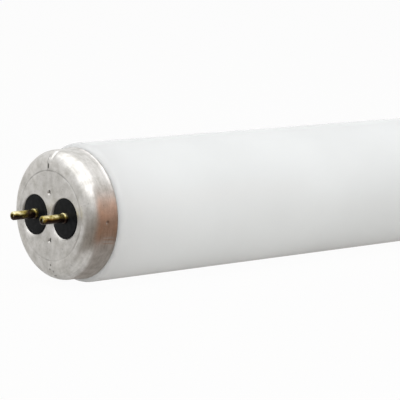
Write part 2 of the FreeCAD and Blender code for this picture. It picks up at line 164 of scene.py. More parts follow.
class LampColours(bpy.types.PropertyGroup):
    """Colours of the lamp's materials."""

    coating: colour("Coating", "#EBEDED", "Phosphor coating seen through the glass")
    aluminium: colour("Aluminium", "#DBD9D6", "Bare drawn aluminium")
    aluminium_dull: colour("Dull aluminium", "#C2C0BB", "Handled and oxidised aluminium")
    # This colour is painted shade in the stakes' pits, the folds, the pressed line and the rolled lips, and
    # also darkens dents and specks
    painted_shade_and_dirt: colour("Grime", "#2E2C28", "Dirt in the dents, creases and specks of the aluminium")
    phenolic: colour("Phenolic", "#0C0E10", "Black moulded insulator")
    brass: colour("Brass", "#94853E", "Bare brass of the pins")
    # Worn brass paints a highlight on the pins' tops and tarnished brass paints shade under them; random
    # stains reach both too
    brass_worn_and_painted_highlight: colour("Worn brass", "#E6DCAE", "Brass of the pins where it is rubbed bright")
    brass_tarnish_and_painted_shade: colour("Tarnished brass", "#33251E", "Tarnish underneath the pins")
    cement: colour("Cement", "#C4B79C", "Baked basing cement")
    wire: colour("Wire", "#C6C3BE", "Nickel-plated lead wire")


def sizes():
    """The lamp's sizes in this scene."""
    return bpy.context.scene.lamp_sizes


def colours():
    """The lamp's colours in this scene."""
    return bpy.context.scene.lamp_colours


# Nodes
def connect(tree, given, socket):
    """Link an input from a socket or a node's first output, or set it to a value."""
    if isinstance(given, bpy.types.Node):
        given = given.outputs[0]
    if isinstance(given, bpy.types.NodeSocket):
        tree.links.new(given, socket)
    else:
        socket.default_value = given


def add(tree, kind, settings=None, **inputs):
    """Node with its settings and its inputs, which are named, or numbered as in _0.

    The setting "stops" holds a colour ramp's (position, colour) pairs.
    """
    node = tree.nodes.new(kind)
    for name, setting in (settings or {}).items():
        if name != "stops":
            setattr(node, name, setting)
            continue
        elements = node.color_ramp.elements
        for number, (position, shade) in enumerate(setting):
            element = elements[number] if number < 2 else elements.new(position)
            element.position = position
            element.color = shade
    for name, given in inputs.items():
        key = int(name[1:]) if name[0] == "_" else name.replace("_", " ")
        connect(tree, given, node.inputs[key])
    return node


def emptied(owner):
    """Node tree of a material or world, with nothing in it yet."""
    owner.use_nodes = True
    owner.node_tree.nodes.clear()
    return owner.node_tree


def patterned(name):
    """New material, its node tree and the place on the piece that its patterns follow."""
    material = bpy.data.materials.new(name)
    tree = emptied(material)
    return material, tree, add(tree, "ShaderNodeTexCoord").outputs["Object"]


# Materials
WHITE = (1, 1, 1, 1)
BLACK = (0, 0, 0, 1)
GREY_STREAK = (0.88, 0.88, 0.88, 1)
GREY_SPECK = (0.7, 0.7, 0.7, 1)


def scaled(shade, share, lift=0.0):
    """Colour with its channels times a share, and lifted."""
    return [channel * share + lift for channel in shade[:3]] + [1]


def mottled(name, grain, detail, *stops, relief=0.0, **finish):
    """Material with shades in patches of one grain size, in relief where that is given."""
    material, tree, place = patterned(name)
    patches = add(tree, "ShaderNodeTexNoise", Vector=place, Scale=1 / grain, Detail=detail)
    tone = add(tree, "ShaderNodeValToRGB", {"stops": stops}, Fac=patches)
    if relief:
        finish["Normal"] = add(tree, "ShaderNodeBump", Strength=0.5, Distance=relief, Height=patches)
    shader = add(tree, "ShaderNodeBsdfPrincipled", Base_Color=tone, **finish)
    add(tree, "ShaderNodeOutputMaterial", Surface=shader)
    return material


def coated_glass():
    """Soda-lime tube coated inside with white powder: a clear gloss over an even matt white."""
    coating = colours().coating
    return mottled(
        "soda_lime_glass_powder_coated", 60 * MM, 3, (0.3, scaled(coating, 0.93)), (0.6, coating),
        Roughness=0.16, IOR=1.52, Specular_IOR_Level=0.15,
        Subsurface_Weight=0.7, Subsurface_Radius=(1, 1, 1), Subsurface_Scale=20 * MM,
    )


def drawn_aluminium():
    """Bare sheet drawn on a press: soft streaks round the skirt, dull clouds, specks, darkened dents, and
    painted shade in its pits, folds, pressed line and rolled lips.
    """
    material, tree, place = patterned("aluminium_drawn_sheet")
    clouds = add(tree, "ShaderNodeTexNoise", Vector=place, Scale=1 / (2.4 * MM), Detail=6, Roughness=0.65)
    tone = add(
        tree, "ShaderNodeValToRGB",
        {"stops": ((0.35, colours().aluminium_dull), (0.6, colours().aluminium))}, Fac=clouds,
    )

    # Draw marks: close together along the lamp and long round it, 0.35 mm apart so that they show
    spread = (1 / (0.35 * MM), 1 / (7 * MM), 1 / (7 * MM))
    stretched = add(tree, "ShaderNodeMapping", Vector=place, Scale=spread)
    streaks = add(tree, "ShaderNodeTexNoise", Vector=stretched, Scale=1, Detail=3)
    streak_tone = add(
        tree, "ShaderNodeValToRGB", {"stops": ((0.35, GREY_STREAK), (0.6, WHITE))},
        Fac=streaks,
    )
    drawn = add(
        tree, "ShaderNodeMix", {"data_type": "RGBA", "blend_type": "MULTIPLY"},
        _0=1.0, _6=tone, _7=streak_tone,
    )
    specks = add(tree, "ShaderNodeTexNoise", Vector=place, Scale=1 / (0.7 * MM), Detail=4, Roughness=0.7)
    speck_mask = add(tree, "ShaderNodeValToRGB", {"stops": ((0.62, BLACK), (0.8, GREY_SPECK))}, Fac=specks)
    # Painted shade in pits, folds, the pressed line and the rolled lips, and darkened dents, carried by the
    # sheet
    painted_darkness = add(tree, "ShaderNodeAttribute", {"attribute_name": "painted_shade_and_dirt"})
    mask = add(tree, "ShaderNodeMath", {"operation": "MAXIMUM"}, _0=speck_mask, _1=painted_darkness.outputs["Fac"])
    marked = add(
        tree, "ShaderNodeMix", {"data_type": "RGBA"},
        _0=mask, _6=drawn.outputs[2], _7=colours().painted_shade_and_dirt,
    )
    rough = add(
        tree, "ShaderNodeMapRange", Value=clouds,
        From_Min=0.3, From_Max=0.7, To_Min=0.44, To_Max=0.34,
    )
    grain = add(tree, "ShaderNodeTexNoise", Vector=place, Scale=1 / (0.45 * MM), Detail=3)
    height = add(tree, "ShaderNodeMath", {"operation": "ADD"}, _0=grain, _1=streaks)
    bump = add(tree, "ShaderNodeBump", Strength=0.16, Distance=0.02 * MM, Height=height)
    shader = add(
        tree, "ShaderNodeBsdfPrincipled", Base_Color=marked.outputs[2], Metallic=1, Roughness=rough,
        Normal=bump,
    )
    add(tree, "ShaderNodeOutputMaterial", Surface=shader)
    return material


def moulded_phenolic():
    """Black thermoset moulded under heat: smooth, with a low gloss and a little dust."""
    black = colours().phenolic
    return mottled(
        "phenolic_moulded_black", 1.2 * MM, 5, (0.4, black), (0.75, scaled(black, 1.5, 0.006)),
        Roughness=0.42, IOR=1.6, Specular_IOR_Level=0.06,
    )


def bare_brass():
    """Turned and formed brass pins with random stains, and painted light: paler towards the top as a
    painted highlight, darker brown towards the bottom as painted shade.
    """
    material, tree, place = patterned("brass_stained_with_painted_light")
    stain = add(tree, "ShaderNodeTexNoise", Vector=place, Scale=1 / (2.5 * MM), Detail=3)
    # Painted light by height: paler towards the pins' tops and darker brown towards their undersides, over
    # the random stains
    height = add(tree, "ShaderNodeSeparateXYZ", Vector=place).outputs["Z"]
    rise = add(
        tree, "ShaderNodeMapRange", Value=height,
        From_Min=-1.3 * MM, From_Max=1.3 * MM, To_Min=-0.25, To_Max=0.25,
    )
    stain_and_painted_light = add(tree, "ShaderNodeMath", {"operation": "ADD"}, _0=stain, _1=rise)
    shades = colours()
    tone = add(
        tree, "ShaderNodeValToRGB",
        {"stops": ((0.46, shades.brass_tarnish_and_painted_shade), (0.62, shades.brass), (0.76, shades.brass_worn_and_painted_highlight))},
        Fac=stain_and_painted_light,
    )
    shader = add(tree, "ShaderNodeBsdfPrincipled", Base_Color=tone, Metallic=0.85, Roughness=0.26)
    add(tree, "ShaderNodeOutputMaterial", Surface=shader)
    return material


def basing_cement():
    """Baked resin and marble-flour cement: matt and grainy."""
    baked = colours().cement
    return mottled(
        "basing_cement_baked", 0.6 * MM, 6, (0.4, scaled(baked, 0.7)), (0.65, baked),
        relief=0.1 * MM, Roughness=0.9,
    )


def plated_wire():
    """Nickel-plated iron wire: bright, with fine dull marks from drawing."""
    nickel = colours().wire
    return mottled(
        "nickel_plated_wire", 0.3 * MM, 2, (0.4, scaled(nickel, 0.75)), (0.6, nickel),
        Metallic=1, Roughness=0.3,
    )


# Meshes
# Length in metres that counts as none
TINY = 1e-7


def linked(name, data):
    """New object of the scene for some data."""
    item = bpy.data.objects.new(name, data)
    bpy.context.scene.collection.objects.link(item)
    return item


def finished(name, mesh, material, nodes, sharp_angle):
    """Smooth object with sharp edges past an angle, riding on the lamp in the place of its solids."""
    mesh.shade_smooth()
    mesh.set_sharp_from_angle(angle=math.radians(sharp_angle))
    mesh.materials.clear()
    mesh.materials.append(material)
    piece = linked(name, mesh)
    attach(piece, BODY)
    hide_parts(*nodes)
    return piece


def end_matrix(side):
    """Place of an end's own frame in the lamp."""
    turned = Matrix.Rotation(math.pi, 4, "Z") if side > 0 else Matrix.Identity(4)
    return Matrix.Translation((side * FACE, 0, 0)) @ turned


def end_mesh(name, shape, side):
    """Mesh at its place in the lamp, of a shape in an end's own frame."""
    mesh = bpy.data.meshes.new(name)
    shape.to_mesh(mesh)
    mesh.transform(end_matrix(side))
    return mesh


def arc(centre, radius, start, end, steps):
    """Points on an arc in the plane of an outline, from one angle to another in degrees."""
    points = []
    for step in range(steps + 1):
        angle = math.radians(start + (end - start) * step / steps)
        points.append((centre[0] + radius * math.cos(angle), centre[1] + radius * math.sin(angle)))
    return points


def lathe(mesh, outline, segments, middle=0.0):
    """Turn an outline of (x, radius) round an axis along X at Y = middle; ends on the axis close."""
    rings = []
    for across, radius in outline:
        if radius < TINY:
            rings.append([mesh.verts.new((across, middle, 0))])
            continue
        ring = []
        for segment in range(segments):
            angle = 2 * math.pi * segment / segments
            ring.append(mesh.verts.new((
                across, middle + radius * math.cos(angle), radius * math.sin(angle),
            )))
        rings.append(ring)
    for first, second in zip(rings, rings[1:]):
        for segment in range(segments):
            after = (segment + 1) % segments
            if len(first) == 1:
                mesh.faces.new((first[0], second[after], second[segment]))
            elif len(second) == 1:
                mesh.faces.new((first[segment], first[after], second[0]))
            else:
                mesh.faces.new((first[segment], first[after], second[after], second[segment]))


# Rules for the turned pieces
ROUND_STEPS = 8
MERGE_DISTANCE = 0.002 * MM


def turned_nodes(tree, given, corners, base, segments):
    """Nodes that turn an outline through corners (x, radius, round) round X into a closed mesh.

    A corner's numbers may be names of given sizes. The outline is lowered by the base, which is the
    radius of the circle that it is swept along.
    """
    line = add(tree, "GeometryNodeMeshLine", Count=len(corners))
    number = add(tree, "GeometryNodeInputIndex")
    places = add(tree, "GeometryNodeIndexSwitch", {"data_type": "VECTOR"}, Index=number)
    rounds = add(tree, "GeometryNodeIndexSwitch", {"data_type": "FLOAT"}, Index=number)
    for switch in (places, rounds):
        for _ in corners[2:]:
            switch.index_switch_items.new()
    for number, corner in enumerate(corners, start=1):
        across, radius, edge = [given[item] if isinstance(item, str) else item for item in corner]
        lowered = add(tree, "ShaderNodeMath", {"operation": "SUBTRACT"}, _0=radius, _1=given[base])
        place = add(tree, "ShaderNodeCombineXYZ", X=across, Y=lowered)
        connect(tree, place, places.inputs[number])
        connect(tree, edge, rounds.inputs[number])
    moved = add(tree, "GeometryNodeSetPosition", Geometry=line, Position=places)
    run = add(tree, "GeometryNodeMeshToCurve", Mesh=moved)
    outline = add(
        tree, "GeometryNodeFilletCurve", {"mode": "POLY"}, Curve=run, Count=ROUND_STEPS, Radius=rounds,
    )
    circle = add(tree, "GeometryNodeCurvePrimitiveCircle", Resolution=segments, Radius=given[base])
    upright = add(tree, "GeometryNodeTransform", Geometry=circle, Rotation=(0, math.pi / 2, 0))
    swept = add(tree, "GeometryNodeCurveToMesh", Curve=upright, Profile_Curve=outline)
    return add(tree, "GeometryNodeMergeByDistance", Geometry=swept, Distance=MERGE_DISTANCE)


def glass_rule(tree, given):
    """Bulb: a tube necked down at both ends, each with a funnel round its sealed stub."""
    half = [
        ("Stub end", 0, 0),
        ("Stub end", "Stub tip radius", 0),
        ("Stub taper", "Stub radius", 0),
        ("Throat", "Stub radius", 0),
        ("Throat", "Throat radius", 0),
        ("Half length", "Mouth radius", 0),
        ("Half length", "Neck radius", "End round"),
        ("Shoulder", "Neck radius", 0),
        ("Shoulder", "Tube radius", "Shoulder round"),
    ]
    other_half = []
    for across, radius, edge in reversed(half):
        opposite = add(tree, "ShaderNodeMath", {"operation": "MULTIPLY"}, _0=given[across], _1=-1.0)
        other_half.append((opposite, radius, edge))
    return turned_nodes(tree, given, half + other_half, "Tube radius", segments=256)


def pin_rule(tree, given):
    """One hollow pin, repeated in the two holes of both caps."""
    pin = turned_nodes(tree, given, [
        ("Rivet back", "Bore radius", 0),
        ("Rivet back", "Rivet radius", "Collar round"),
        ("Plate back", "Rivet radius", 0),
        ("Plate back", "Pin radius", 0),
        ("Collar back", "Pin radius", 0),
        ("Collar back", "Collar radius", 0),
        ("Collar front", "Collar radius", "Collar round"),
        ("Collar front", "Pin radius", "Collar round"),
        ("Tip", "Pin radius", "Tip round"),
        ("Tip", "Mouth radius", "Mouth round"),
        ("Mouth end", "Mouth radius", 0),
        ("Mouth end", "Lead radius", 0),
        ("Crimp end", "Lead radius", 0),
        ("Bore end", "Bore radius", 0),
        ("Rivet back", "Bore radius", 0),
    ], "Collar radius", segments=64)
    start = add(tree, "ShaderNodeCombineXYZ", Y=given["First pin"])
    step = add(tree, "ShaderNodeCombineXYZ", Y=given["Pin spacing"])
    pin_line = add(tree, "GeometryNodeMeshLine", Count=len(ROWS), Start_Location=start, Offset=step)
    pair = add(tree, "GeometryNodeInstanceOnPoints", Points=pin_line, Instance=pin)
    start = add(tree, "ShaderNodeCombineXYZ", X=given["First end"])
    step = add(tree, "ShaderNodeCombineXYZ", X=given["End spacing"])
    end_line = add(tree, "GeometryNodeMeshLine", Count=len(ENDS), Start_Location=start, Offset=step)
    number = add(tree, "GeometryNodeInputIndex")
    half_turns = add(tree, "ShaderNodeMath", {"operation": "MULTIPLY"}, _0=number, _1=math.pi)
    facing = add(tree, "ShaderNodeCombineXYZ", Z=half_turns)
    return add(tree, "GeometryNodeInstanceOnPoints", Points=end_line, Instance=pair, Rotation=facing)


def grown_mesh(name, rule, values, material):
    """Plain mesh that a rule's geometry nodes make from named sizes."""
    tree = bpy.data.node_groups.new(name, "GeometryNodeTree")
    for size_name in values:
        socket = tree.interface.new_socket(size_name, in_out="INPUT", socket_type="NodeSocketFloat")
        socket.subtype = "DISTANCE"
    tree.interface.new_socket("Material", in_out="INPUT", socket_type="NodeSocketMaterial")
    tree.interface.new_socket("Geometry", in_out="OUTPUT", socket_type="NodeSocketGeometry")
    given = add(tree, "NodeGroupInput").outputs
    real = add(tree, "GeometryNodeRealizeInstances", Geometry=rule(tree, given))
    painted = add(tree, "GeometryNodeSetMaterial", Geometry=real, Material=given["Material"])
    add(tree, "NodeGroupOutput", Geometry=painted)

    holder = linked(name, bpy.data.meshes.new(name))
    modifier = holder.modifiers.new(name, "NODES")
    modifier.node_group = tree
    for item in tree.interface.items_tree:
        if item.in_out == "INPUT":
            modifier[item.identifier] = values.get(item.name, material)
    graph = bpy.context.evaluated_depsgraph_get()
    mesh = bpy.data.meshes.new_from_object(holder.evaluated_get(graph))
    holder.modifiers.clear()
    bpy.data.objects.remove(holder)
    mesh.name = name
    return mesh


# Cap shell
# How finely its sheet is divided
PROFILE_STEP = 0.6 * MM
SLOPE_STEPS = 4
CORNER_STEPS = 18
FLARE_STEPS = 3
SHEET_STEP = 0.5 * MM
HOLE_POINTS = 96
HOLE_SPACING = 0.3 * MM
LINE_POINTS = 288
SPOT_RINGS = (0.25, 0.5, 0.75, 1.0, 1.3)
SPOT_POINTS = 20
CREASE_ROWS = (-1.15, -0.85, -0.6, -0.35, -0.12, 0.12, 0.35, 0.6, 0.85, 1.15)
CREASE_STEP = 0.12 * MM

# Room that the even points leave round an opening, the land's line and a mark
HOLE_ROOM = 0.5 * MM
LINE_ROOM = 0.15 * MM
MARK_ROOM = 0.12 * MM

# How far a face's middle may lie inside an opening
OPENING_SLACK = 1e-6

# Rings of a rolled lip, as the angle of the roll and the share of the straight wall after it
LIP_ARC = 54
LIP_RINGS = [(LIP_ARC * step / 9, 0) for step in range(1, 10)] + [(LIP_ARC, 0.7), (LIP_ARC, 1)]
# How dark the roll into an opening is painted at its tight side, as painted shade going into the hole
LIP_PAINTED_SHADE = 0.6

# Side of each opening where the punch drew the face in most, from its middle, and how narrow it is
DRAWN_SIDE = Vector((0.6, -0.8))
DRAWN_POWER = 3

# Painted shade in the line round the land: everywhere, more towards its top, and varying in patches of this
# size
LINE_PAINTED_SHADE = 0.12
LINE_TOP_PAINTED_SHADE = 0.3
LINE_PATCH_SHADE = 0.42
LINE_PATCH = 2.5 * MM

# Length of the waves in the corner and the skirt, and how sharply a mark's painted shade ends
WAVE = 6 * MM
MARK_SHADE_EDGE = 1.8


class Profile(NamedTuple):
    """Outline of a cap's outside: points as (x, radius), and how far along it each one is."""

    points: list
    runs: list


def cup_profile(size):
    """Outline of the cap's outside from its middle to its rim."""
    flat = size.cap_radius - size.corner_radius
    count = round(size.land_radius / PROFILE_STEP)
    points = [(0.0, size.land_radius * number / count) for number in range(count + 1)]
    for number in range(1, SLOPE_STEPS + 1):
        share = number / SLOPE_STEPS
        points.append((size.land_height * share, size.land_radius + (flat - size.land_radius) * share))
    centre = (size.land_height + size.corner_radius, flat)
    points += arc(centre, size.corner_radius, 180, 90, CORNER_STEPS)[1:]
    bend = size.skirt_depth - size.rim_flare_depth
    first = points[-1][0]
    count = round((bend - first) / PROFILE_STEP)
    points += [(first + (bend - first) * number / count, size.cap_radius) for number in range(1, count + 1)]
    for number in range(1, FLARE_STEPS + 1):
        share = number / FLARE_STEPS
        across = bend + size.rim_flare_depth * share
        points.append((across, size.cap_radius + size.rim_flare * share * share))
    runs = [0.0]
    for before, after in zip(points, points[1:]):
        runs.append(runs[-1] + math.dist(before, after))
    return Profile(points, runs)


def on_profile(profile, run):
    """Place and outward normal, both (x, radius), at a distance along an outline."""
    points, runs = profile
    run = min(run, runs[-1])
    number = max(bisect.bisect_left(runs, run), 1)
    share = (run - runs[number - 1]) / (runs[number] - runs[number - 1])
    before, after = points[number - 1], points[number]
    place = [first + (second - first) * share for first, second in zip(before, after)]
    along = Vector((after[0] - before[0], after[1] - before[1])).normalized()
    return place, (-along.y, along.x)


def circle_points(centre, radius, count, phase=0.0):
    """Points evenly spaced on a circle in the unrolled plane of the cap."""
    points = []
    for number in range(count):
        angle = 2 * math.pi * (number + phase) / count
        points.append(Vector((centre[0] + radius * math.cos(angle), centre[1] + radius * math.sin(angle))))
    return points


class Mark(NamedTuple):
    """Dent, crease or dark spot on a cap: its path as (distance from the middle, angle in degrees), with
    darkening that is painted shade in pits and folds.
    """

    path: tuple
    half_width: float
    depth: float
    painted_shade_and_dirt: float


# Both stakes' angle above or below the line of the pins, and the painted shade in their pits
STAKE_ANGLE = 87.2
STAKE_PAINTED_SHADE = 0.1

# Folds over the corner: path in millimetres and degrees, and shares of the crease's width and depth
FOLDS = (
    (((14.6, 92.3), (15.6, 92.6), (16.4, 92.9), (17.6, 92.9)), 1, 1),
    (((14.0, -88.5), (15.0, -90), (16.4, -92.5)), 0.8, 0.5),
)

# Marks of handling on the photographed cap, with lengths in millimetres: path, half width, depth and
# darkening
WORN_MARKS = (
    # The dark spots at the stakes and the dark marks along the upper fold are painted shade; the other
    # marks are dents, most of them darkened
    (((6.45, 89.5),), 0.5, 0, 1.0),
    (((6.2, -91.5),), 0.42, 0, 0.9),
    (((6.8, -92.2),), 0.32, 0, 0.9),
    (((12.2, 86.5), (12.8, 87.3)), 0.25, 0, 0.35),
    (((12.9, 87.5), (13.6, 87.5)), 0.38, 0, 0.85),
    (((13.6, 86.7), (14.2, 86), (15.1, 86.5), (15.75, 87)), 0.22, 0, 0.32),
    (((13.2, -90),), 0.35, 0.05, 0.7),
    (((14.4, -88),), 0.3, 0.05, 0.6),
    (((14.9, -93.5),), 0.35, 0.05, 0.5),
    (((16.2, -94.5), (16.4, -92)), 0.25, 0.04, 0.5),
    (((21.2, -178),), 0.65, 0.14, 0.45),
    (((20.7, -163.6), (23.8, -163)), 0.24, 0.05, 0),
    (((21.1, -159.6), (23.6, -159)), 0.22, 0.045, 0),
)


def in_metres(path):
    """Path of a mark with its distances in metres."""
    return tuple((run * MM, angle) for run, angle in path)


def cap_marks(size, worn):
    """Stakes that hold the insulator and folds over the corner, and any marks of handling."""
    marks = []
    for side in (1, -1):
        path = ((size.stake_height - side * size.stake_drop, side * STAKE_ANGLE),)
        marks.append(Mark(path, size.stake_radius, size.stake_depth, STAKE_PAINTED_SHADE))
    for path, width, depth in FOLDS:
        marks.append(Mark(in_metres(path), size.crease_width / 2 * width, size.crease_depth * depth, 0))
    for path, half_width, depth, painted_shade_and_dirt in WORN_MARKS if worn else ():
        marks.append(Mark(in_metres(path), half_width * MM, depth * MM, painted_shade_and_dirt))
    return marks


def mark_distance(mark, run, angle, radius):
    """Distance over the sheet from a mark's path."""
    spots = []
    for spot_run, spot_angle in mark.path:
        turn = math.remainder(math.radians(spot_angle) - angle, 2 * math.pi)
        spots.append(Vector((spot_run - run, turn * radius)))
    nearest = spots[0].length
    for first, second in zip(spots, spots[1:]):
        along = second - first
        share = min(max(-first.dot(along) / along.length_squared, 0), 1)
        nearest = min(nearest, (first + along * share).length)
    return nearest


def unrolled(run, angle):
    """Point of the unrolled cap at a distance from its middle and an angle."""
    return Vector((run * math.cos(angle), run * math.sin(angle)))


def mark_points(mark, profile):
    """Points of the unrolled cap along a mark and to both sides of it."""
    points = []
    if len(mark.path) == 1:
        run, degrees = mark.path[0]
        spot = unrolled(run, math.radians(degrees))
        points.append(spot)
        for share in SPOT_RINGS:
            points += circle_points(spot, mark.half_width * share, SPOT_POINTS, 3 * share)
        return points
    for (run, degrees), (next_run, next_degrees) in zip(mark.path, mark.path[1:]):
        angle = math.radians(degrees)
        radius = on_profile(profile, run)[0][1]
        along = Vector((next_run - run, math.radians(next_degrees - degrees) * radius))
        aside = Vector((-along.y, along.x)).normalized() * mark.half_width
        steps = max(1, round(along.length / max(mark.half_width / 3, CREASE_STEP)))
        for step in range(steps + 1):
            for share in CREASE_ROWS:
                spot = along * step / steps + aside * share
                points.append(unrolled(run + spot.x, angle + spot.y / radius))
    return points


def lip_roll(size, away):
    """Radius of the roll into an opening on this side of its middle."""
    share = max(0, 0.5 + 0.5 * away.normalized().dot(DRAWN_SIDE)) ** DRAWN_POWER
    return size.lip_radius + (size.lip_wide_radius - size.lip_radius) * share


def edge_gap(size, hole, place):
    """Distance of a place on the face from the start of the roll into an opening."""
    away = place - hole
    return away.length - size.hole_radius - lip_roll(size, away)


def opening_edge(size, hole, gap, phase):
    """Points of the face evenly round an opening, at a distance from the start of its roll."""
    points = []
    for unit in circle_points((0, 0), 1, HOLE_POINTS, phase):
        points.append(hole + unit * (size.hole_radius + lip_roll(size, unit) + gap))
    return points


def land_edge(size, angle):
    """Distance from the middle to the line round the land, which is longer across the pins."""
    across = size.land_radius + size.land_stretch
    return across * size.land_radius / math.hypot(
        size.land_radius * math.cos(angle), across * math.sin(angle),
    )


def is_free(size, holes, marks, place, radius):
    """Whether no finer points stand round this place of the unrolled cap."""
    run = place.length
    angle = math.atan2(place.y, place.x)
    if any(edge_gap(size, hole, place) < HOLE_ROOM for hole in holes):
        return False
    if abs(run - land_edge(size, angle)) < size.land_line / 2 + LINE_ROOM:
        return False
    return all(
        mark_distance(mark, run, angle, radius) > mark.half_width * CREASE_ROWS[-1] + MARK_ROOM
        for mark in marks
    )


def flat_points(size, profile, holes, marks):
    """Points of the unrolled cap, with finer ones where it is shaped, and its openings' edges."""
    flat = []
    edges = []
    for hole in holes:
        start = len(flat)
        flat += opening_edge(size, hole, gap=0, phase=0)
        edges += [(start + number, start + (number + 1) % HOLE_POINTS) for number in range(HOLE_POINTS)]
        flat += opening_edge(size, hole, gap=HOLE_SPACING, phase=0.5)
    for number in range(LINE_POINTS):
        for share in (-1, -0.5, 0, 0.5, 1):
            angle = 2 * math.pi * (number + share / 2) / LINE_POINTS
            flat.append(unrolled(land_edge(size, angle) + share * size.land_line / 2, angle))
    for mark in marks:
        flat += mark_points(mark, profile)
    for number, run in enumerate(profile.runs):
        radius = profile.points[number][1]
        count = max(6, round(2 * math.pi * radius / SHEET_STEP))
        ring = circle_points((0, 0), run, count, 0.5 * (number % 2)) if run else [Vector((0, 0))]
        flat += [place for place in ring if is_free(size, holes, marks, place, radius)]
    return flat, edges


def pressed_point(size, profile, marks, place):
    """Point of the finished cap for a place of the unrolled one, and how dark it is painted there, mostly
    painted shade in its hollows.
    """
    run = place.length
    angle = math.atan2(place.y, place.x)
    (across, radius), normal = on_profile(profile, run)
    unit = place / run if run else Vector((1, 0))
    spot = Vector((across, radius * unit.x, radius * unit.y))
    outward = Vector((normal[0], normal[1] * unit.x, normal[1] * unit.y))
    line_share = max(0, 1 - ((run - land_edge(size, angle)) / (size.land_line / 2)) ** 2) ** 2
    sink = size.land_line_depth * line_share
    # Painted shade in the land's line, darker towards the top and varying in patches
    patches = LINE_PATCH_SHADE * noise.noise(spot / LINE_PATCH)
    painted_darkness = line_share * (LINE_PAINTED_SHADE + LINE_TOP_PAINTED_SHADE * max(0, unit.y) + patches)
    for mark in marks:
        # Marks sink the sheet and darken it: painted shade in the pits and folds
        share = mark_distance(mark, run, angle, radius) / mark.half_width
        if share < 1:
            sink += mark.depth * (1 - share * share) ** 2
            painted_darkness = max(painted_darkness, mark.painted_shade_and_dirt * min(MARK_SHADE_EDGE * (1 - share * share), 1))
    if run > size.cap_radius - size.corner_radius:
        sink += size.waviness * noise.noise(spot / WAVE)
    return spot - outward * sink, min(max(painted_darkness, 0), 1)


def roll_lip(size, mesh, painted_shade_and_dirt, hole, edge):
    """Roll the sheet into an opening from its edge, given as (place from its middle, vertex)."""
    edge.sort(key=lambda item: math.atan2(item[0].y, item[0].x))
    before = [corner for _, corner in edge]
    for angle, straight in LIP_RINGS:
        turn = math.radians(angle)
        ring = []
        for away, _ in edge:
            roll = lip_roll(size, away)
            across = roll * (1 - math.cos(turn))
            across += (size.lip_depth - across) * straight
            radius = size.hole_radius + roll * (1 - math.sin(turn))
            radius += (size.hole_radius - radius) * straight
            spot = hole + away.normalized() * radius
            lip = mesh.verts.new((across, spot.x, spot.y))
            # Painted shade into the opening: darker further round the roll and on its tight side, fully
            # dark on the straight wall inside
            tight = (size.lip_wide_radius - roll) / (size.lip_wide_radius - size.lip_radius)
            lip[painted_shade_and_dirt] = 1 if straight == 1 else LIP_PAINTED_SHADE * tight * angle / LIP_ARC
            ring.append(lip)
        for number in range(len(edge)):
            after = (number + 1) % len(edge)
            mesh.faces.new((before[number], ring[number], ring[after], before[after]))
        before = ring


def cap_sheet(size, worn):
    """Outside of a cap as one sheet: a disc with its holes and marks, pressed to a cup."""
    profile = cup_profile(size)
    holes = [Vector((row * size.pin_spacing / 2, 0)) for row in ROWS.values()]
    marks = cap_marks(size, worn)
    flat, edges = flat_points(size, profile, holes, marks)
    found, _, faces, _, _, _ = delaunay_2d_cdt(flat, edges, [], 0, TINY)
    mesh = bmesh.new()
    painted_shade_and_dirt = mesh.verts.layers.float.new("painted_shade_and_dirt")
    corners = []
    for place in found:
        spot, painted_darkness = pressed_point(size, profile, marks, place)
        corner = mesh.verts.new(spot)
        corner[painted_shade_and_dirt] = painted_darkness
        corners.append(corner)
    for face in faces:
        middle = sum((found[corner] for corner in face), Vector((0, 0))) / len(face)
        if all(edge_gap(size, hole, middle) >= -OPENING_SLACK for hole in holes) and len(face) == 3:
            mesh.faces.new([corners[corner] for corner in reversed(face)])
    for hole in holes:
        roll_lip(size, mesh, painted_shade_and_dirt, hole, [
            (place - hole, corner) for corner, place in zip(corners, found)
            if abs(edge_gap(size, hole, place)) < TINY
        ])
    return mesh


# Operators
class LAMP_OT_glass_bulb(bpy.types.Operator):
    """Grow the glass bulb from its rule"""

    bl_idname = "lamp.glass_bulb"
    bl_label = "Glass bulb"

    def execute(self, context):
        size = sizes()
        material = coated_glass()
        glass_end = FACE - size.glass_setback
        neck = size.cap_radius - size.neck_gap
        throat = glass_end - size.flare_depth
        stub_end = throat + size.stub_length
        mesh = grown_mesh("glass_bulb", glass_rule, {
            "Half length": glass_end,
            "Tube radius": size.tube_radius,
            "Neck radius": neck,
            "Shoulder": FACE - size.skirt_depth - size.shoulder_gap,
            "Shoulder round": size.shoulder_radius,
            "End round": size.glass_edge_radius,
            "Mouth radius": neck - size.glass_rim_width,
            "Throat": throat,
            "Throat radius": size.throat_radius,
            "Stub radius": size.stub_radius,
            "Stub taper": stub_end - size.stub_tip_length,
            "Stub end": stub_end,
            "Stub tip radius": size.stub_tip_radius,
        }, material)
        finished("glass_bulb", mesh, material, ["glass_tube"], sharp_angle=35)
        return {"FINISHED"}


class LAMP_OT_cap_shells(bpy.types.Operator):
    """Draw the two aluminium cap shells from sheet"""

    bl_idname = "lamp.cap_shells"
    bl_label = "Cap shells"

    def execute(self, context):
        size = sizes()
        material = drawn_aluminium()
        for end, side in ENDS.items():
            sheet = cap_sheet(size, worn=end == "left")
            name = f"{end}_cap"
            mesh = end_mesh(name, sheet, side)
            sheet.free()
            cap = finished(name, mesh, material, [f"{end}_cap_shell"], sharp_angle=50)
            wall = cap.modifiers.new("Sheet", "SOLIDIFY")
            wall.thickness = size.sheet
            wall.offset = -1
        return {"FINISHED"}


